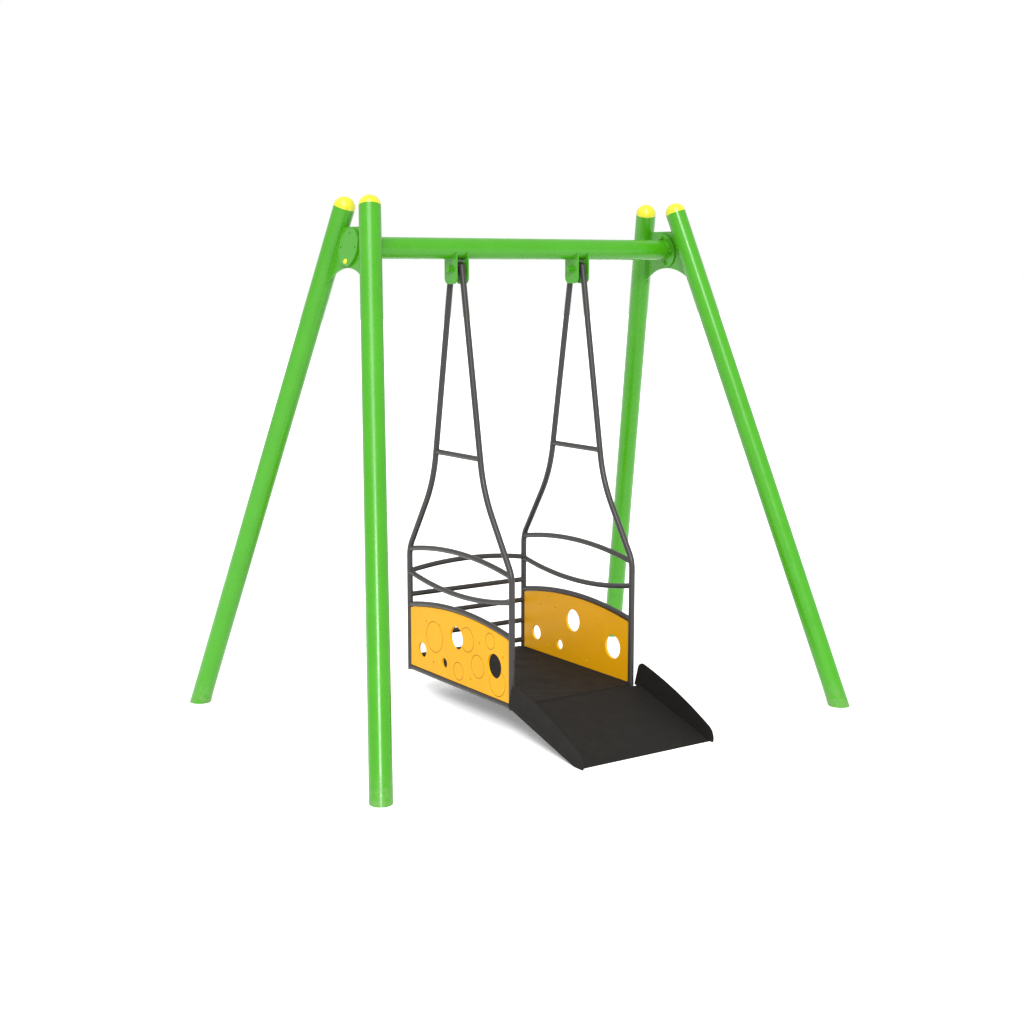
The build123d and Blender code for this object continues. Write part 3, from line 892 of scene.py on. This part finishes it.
@dataclass
class Platform:
    """The caged platform: rods, rails, guards, panels and floor."""

    rod_radius: float = 0.01685
    rail_radius: float = 0.015
    weld: float = 0.0024
    weld_pitch: float = 0.0036
    weld_near: float = 0.045
    weld_far: float = 0.075
    weld_reach: float = 0.03
    rod_step: float = 0.012
    seat_weld: float = 0.0034
    seat_half_width: float = 0.0095
    seat_half_length: float = 0.0145
    seat_levels: tuple[float, float] = (0.005, 0.045)
    floor_weld: float = 0.0022
    rail_gap: float = 0.0006
    cross_width: float = 0.03
    cross_members: int = 4
    seal_inner: float = 0.0135
    seal_outer: float = 0.0205
    groove_face: float = 0.407
    grey: PowderCoat = PowderCoat("grey powder coat", (0.0245, 0.0225, 0.021), 0.38, 0.05)
    black: GritCoat = GritCoat("black anti-slip coat", (0.0125, 0.0108, 0.0095))
    zinc: ZincPlate = ZincPlate("zinc plating")
    paint: bpy.types.Material = field(init=False)
    grit: bpy.types.Material = field(init=False)
    steel: bpy.types.Material = field(init=False)

    def dress(self) -> None:
        """Give each CAD node of the platform its finish."""
        self.paint = self.grey.material()
        self.grit = self.black.material()
        self.steel = self.zinc.material()
        sheet = SheetPlastic("amber sheet plastic", (0.62, 0.298, 0.0022), (0.32, 0.12, 0.002),
                             (0.22, 0.08, 0.002), self.groove_face)
        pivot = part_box("bearing_housing_right")
        bearing = SealedBearing("sealed bearing", (pivot[0][2] + pivot[1][2]) / 2, self.seal_inner,
                                self.seal_outer)
        dress(self.paint, ["guard_rail", "guard_bars", "panel_screws", "hinge_pin"] + both(
            "hanger_rod_front", "hanger_rod_rear", "rod_crossbar", "top_rail", "middle_rail", "panel_rail",
            "bottom_rail", "bearing_housing"))
        dress(self.grit, ["floor_plate", "floor_cross_members", "floor_knuckles"])
        dress(self.steel, ["pivot_spacers"])
        dress(sheet.material(), both("side_panel"))
        dress(bearing.material(), both("bearings"))

    def joint(self, rail: str, rod: str, spot: Vector, away: Vector) -> Path:
        """The closed bead where a rail meets a rod.

        Args:
            rail: Name of the rail's node.
            rod: Name of the rod's node.
            spot: Roughly where the two axes meet.
            away: Direction of the rail, away from the rod.

        Returns:
            The path.
        """
        near = section(rail, spot + away * self.weld_near, away, self.weld_reach)
        far = section(rail, spot + away * self.weld_far, away, self.weld_reach)
        up = Vector((0, 0, self.rod_step))
        low, high = (section(rod, Vector((spot.x, spot.y, near.z)) + shift, Vector((0, 0, 1)))
                     for shift in (-up, up))
        return saddle(near, far - near, self.rail_radius, (low + high) / 2, high - low, self.rod_radius)

    def rod_at(self, rod: str, height: float) -> Vector:
        """A rod's centre at a height, the middle of one level cut through the rod."""
        low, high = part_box(rod)
        middle = Vector(((low[0] + high[0]) / 2, (low[1] + high[1]) / 2, height))
        return section(rod, middle, Vector((0, 0, 1)), 1.0)

    def rings(self) -> list[Path]:
        """Closed beads of the right half, and of the rear guard on both sides.

        Returns:
            The paths, already mirrored.
        """
        paths = []
        for end, place in ((-1, "front"), (1, "rear")):
            rod = f"hanger_rod_{place}_right"
            for rail in ("top_rail", "middle_rail", "panel_rail", "bottom_rail", "rod_crossbar"):
                node = f"{rail}_right"
                low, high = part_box(node)
                level = high[2] - self.rail_radius if rail == "middle_rail" else low[2] + self.rail_radius
                spot = self.rod_at(rod, level)
                paths.append(self.joint(node, rod, spot, Vector((0, -end, 0))))
        rod = "hanger_rod_rear_right"
        bars = [("guard_bars", level) for level in self.bar_levels()]
        for node, level in [("guard_rail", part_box("guard_rail")[0][2] + self.rail_radius), *bars]:
            paths.append(self.joint(node, rod, self.rod_at(rod, level), Vector((-1, 0, 0))))
        return paths + mirrored(paths)

    def bar_levels(self) -> list[float]:
        """Heights of the level guard bars, read off a cut through the middle."""
        work = bmesh.new()
        work.from_mesh(bpy.data.objects["guard_bars"].data)
        everything = work.verts[:] + work.edges[:] + work.faces[:]
        cut = bmesh.ops.bisect_plane(work, geom=everything, plane_co=(0, 0, 0),
                                     plane_no=(1, 0, 0))["geom_cut"]
        heights = sorted(item.co.z for item in cut if isinstance(item, bmesh.types.BMVert))
        work.free()
        groups: list[list[float]] = [[heights[0]]]
        for height in heights[1:]:
            if height - groups[-1][-1] > self.rail_radius:
                groups.append([])
            groups[-1].append(height)
        return [(group[0] + group[-1]) / 2 for group in groups]

    def housing_beads(self) -> list[Path]:
        """The closed bead round each rod's seat on its bearing housing.

        Returns:
            The paths, already mirrored.
        """
        low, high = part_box("bearing_housing_right")
        hub = (Vector(low) + Vector(high)) / 2
        paths = []
        for place in ("front", "rear"):
            rod = f"hanger_rod_{place}_right"
            upper, lower = (section(rod, Vector((hub.x, self.rod_at(rod, z).y, z)), Vector((0, 0, 1)))
                            for z in (hub.z - down for down in self.seat_levels))
            along = (upper - lower).normalized()
            seat = upper + along * (hub - upper).dot(along)
            inward = (hub - seat).normalized()
            path = []
            for i in range(48):
                angle = math.tau * i / 48
                side = self.seat_half_width * math.cos(angle)
                rise = self.seat_half_length * math.sin(angle)
                depth = math.sqrt(self.rod_radius ** 2 - side ** 2)
                path.append(seat + inward * depth + Vector((side, 0, 0)) + along * rise)
            paths.append(path)
        return paths + mirrored(paths)

    def floor_stitches(self) -> list[Path]:
        """Short beads under the floor, along the rails and both sides of each cross member.

        Returns:
            The paths.
        """
        low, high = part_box("floor_cross_members")
        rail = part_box("bottom_rail_right")
        middle = ((rail[0][0] + rail[1][0]) / 2, (rail[0][2] + rail[1][2]) / 2)
        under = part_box("floor_plate")[0][2]
        reach = math.sqrt(self.rail_radius ** 2 - (middle[1] - under) ** 2)
        x = middle[0] - reach - self.rail_gap
        paths = stitches(Vector((x, low[1], under)), Vector((x, high[1], under)), 9, 0.04)
        pitch = (high[1] - low[1] - self.cross_width) / (self.cross_members - 1)
        for i in range(self.cross_members):
            for edge in (0.0, self.cross_width):
                y = low[1] + i * pitch + edge
                paths += stitches(Vector((0.02, y, under)), Vector((high[0], y, under)), 3, 0.035)
        return paths + mirrored(paths)

    def build(self, bead: Tree) -> list[bpy.types.Object]:
        """Make the platform's own pieces.

        Args:
            bead: The weld tree.

        Returns:
            The pieces.
        """
        return [bead.run("rail_welds", self.rings(), True, self.paint, radius=self.weld,
                         pitch=self.weld_pitch),
                bead.run("housing_welds", self.housing_beads(), True, self.paint, radius=self.seat_weld),
                bead.run("floor_welds", self.floor_stitches(), False, self.grit, radius=self.floor_weld)]


@dataclass
class Ramp:
    """The fold-down ramp: deck, flanges and ribs."""

    plate: float = 0.005
    ribs: int = 4
    rib_half: float = 0.0025
    weld: float = 0.0022
    edge_gap: float = 0.0008
    under_gap: float = 0.001
    hinge_room: float = 0.01
    toe_room: float = 0.06
    rib_head: float = 0.02
    rib_tail: float = 0.05

    def dress(self, grit: bpy.types.Material) -> None:
        """Give each CAD node of the ramp its finish.

        Args:
            grit: The anti-slip coat.
        """
        dress(grit, ["ramp_deck", "ramp_knuckles", "ramp_ribs"] + both("ramp_flange"))

    def build(self, bead: Tree, grit: bpy.types.Material) -> list[bpy.types.Object]:
        """Make the ramp's welds, under the deck along its flanges and ribs.

        Args:
            bead: The weld tree.
            grit: The anti-slip coat.

        Returns:
            The pieces.
        """
        low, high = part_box("ramp_deck")
        slope = (high[2] - low[2] - self.plate) / (high[1] - low[1])
        edge = high[0] - self.edge_gap
        back, toe = high[1] - self.hinge_room, low[1] + self.toe_room
        top = Vector((edge, back, high[2] - self.plate - self.under_gap - self.hinge_room * slope))
        bottom = top + Vector((0, toe - back, (toe - back) * slope))
        paths = stitches(top, bottom, 6, 0.05)
        rib_low, rib_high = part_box("ramp_ribs")
        pitch = (rib_high[0] - rib_low[0] - 2 * self.rib_half) / (self.ribs - 1)
        for i in (0.5, 1.5):
            for face in (-1, 1):
                x = i * pitch + face * self.rib_half
                head = Vector((x, rib_high[1] - self.rib_head, 0))
                head.z = top.z + (head.y - top.y) * slope
                run = rib_low[1] + self.rib_tail - head.y
                tail = head + Vector((0, run, run * slope))
                paths += stitches(head, tail, 5, 0.035)
        return [bead.run("ramp_welds", paths + mirrored(paths), False, grit, radius=self.weld)]


@dataclass
class Studio:
    """Pale floor, soft light and the camera."""

    floor_half: float = 60.0
    floor_sink: float = 0.0005
    eye: tuple[float, float, float] = (-4.9639, -7.2911, 2.4760)
    tilt: float = 8.786
    turn: float = 34.017
    lens: float = 55.62

    def floor(self) -> None:
        """A wide pale floor that fades into the white surround."""
        work = bmesh.new()
        bmesh.ops.create_grid(work, x_segments=8, y_segments=8, size=self.floor_half)
        mesh = bpy.data.meshes.new("studio_floor")
        work.to_mesh(mesh)
        work.free()
        shade = Shade("pale floor")
        tone = shade.mix(shade.noise(0.6, 3.0), (0.93, 0.93, 0.93), (0.95, 0.95, 0.95))
        shade.set(Base_Color=tone, Roughness=0.9,
                  Specular_IOR_Level=0.1, Emission_Color=(1.0, 1.0, 1.0), Emission_Strength=0.2)
        mesh.materials.append(shade.material)
        floor = bpy.data.objects.new("studio_floor", mesh)
        bpy.context.scene.collection.objects.link(floor)
        floor.location.z = -self.floor_sink

    def light(self, name: str, place: tuple[float, float, float], strength: float, spread: float) -> None:
        """One far soft light, aimed at the middle of the swing.

        Args:
            name: Name of the light.
            place: The direction that it comes from.
            strength: Its strength.
            spread: How wide it looks, in degrees.
        """
        data = bpy.data.lights.new(name, "SUN")
        data.energy = strength
        data.angle = math.radians(spread)
        lamp = bpy.data.objects.new(name, data)
        lamp.location = place
        lamp.rotation_euler = (-Vector(place)).to_track_quat("-Z", "Y").to_euler()
        bpy.context.scene.collection.objects.link(lamp)

    def build(self) -> None:
        """Set up the floor, lights, surround and camera."""
        self.floor()
        world = bpy.data.worlds.new("studio")
        world.use_nodes = True
        sky = world.node_tree.nodes["Background"]
        sky.inputs["Color"].default_value = (1.0, 1.0, 1.0, 1.0)
        sky.inputs["Strength"].default_value = 1.0
        bpy.context.scene.world = world
        self.light("key", (-3.6, -3.6, 6.6), 2.0, 36.0)
        self.light("strip", (-4.4, -7.9, 4.3), 2.0, 12.0)
        camera = bpy.data.cameras.new("camera")
        camera.lens = self.lens
        camera.sensor_width = 36.0
        viewer = bpy.data.objects.new("camera", camera)
        viewer.location = self.eye
        viewer.rotation_euler = (math.radians(90 - self.tilt), 0.0, math.radians(-self.turn))
        bpy.context.scene.collection.objects.link(viewer)
        bpy.context.scene.camera = viewer
        bpy.context.scene.view_settings.view_transform = "Standard"


def settle(pieces: Iterable[bpy.types.Object], body: Body) -> None:
    """Put pieces on their body and report them.

    Args:
        pieces: The pieces.
        body: The body they ride on.
    """
    for piece in pieces:
        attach(piece, body.value)
        log.info("%s: %d faces on %s", piece.name, len(piece.data.polygons), body.value)


def main() -> None:
    """Dress the CAD nodes, add the made pieces and light the scene."""
    bead, thread = bead_tree(), thread_tree()
    stand = Stand()
    stand.dress()
    settle(stand.build(bead, thread), Body.STAND)
    platform = Platform()
    platform.dress()
    pieces = platform.build(bead)
    settle(pieces[:2], Body.PLATFORM)
    settle(pieces[2:], Body.PLATFORM)
    ramp = Ramp()
    ramp.dress(platform.grit)
    settle(ramp.build(bead, platform.grit), Body.RAMP)
    Studio().build()


if __name__ == "__main__":
    main()
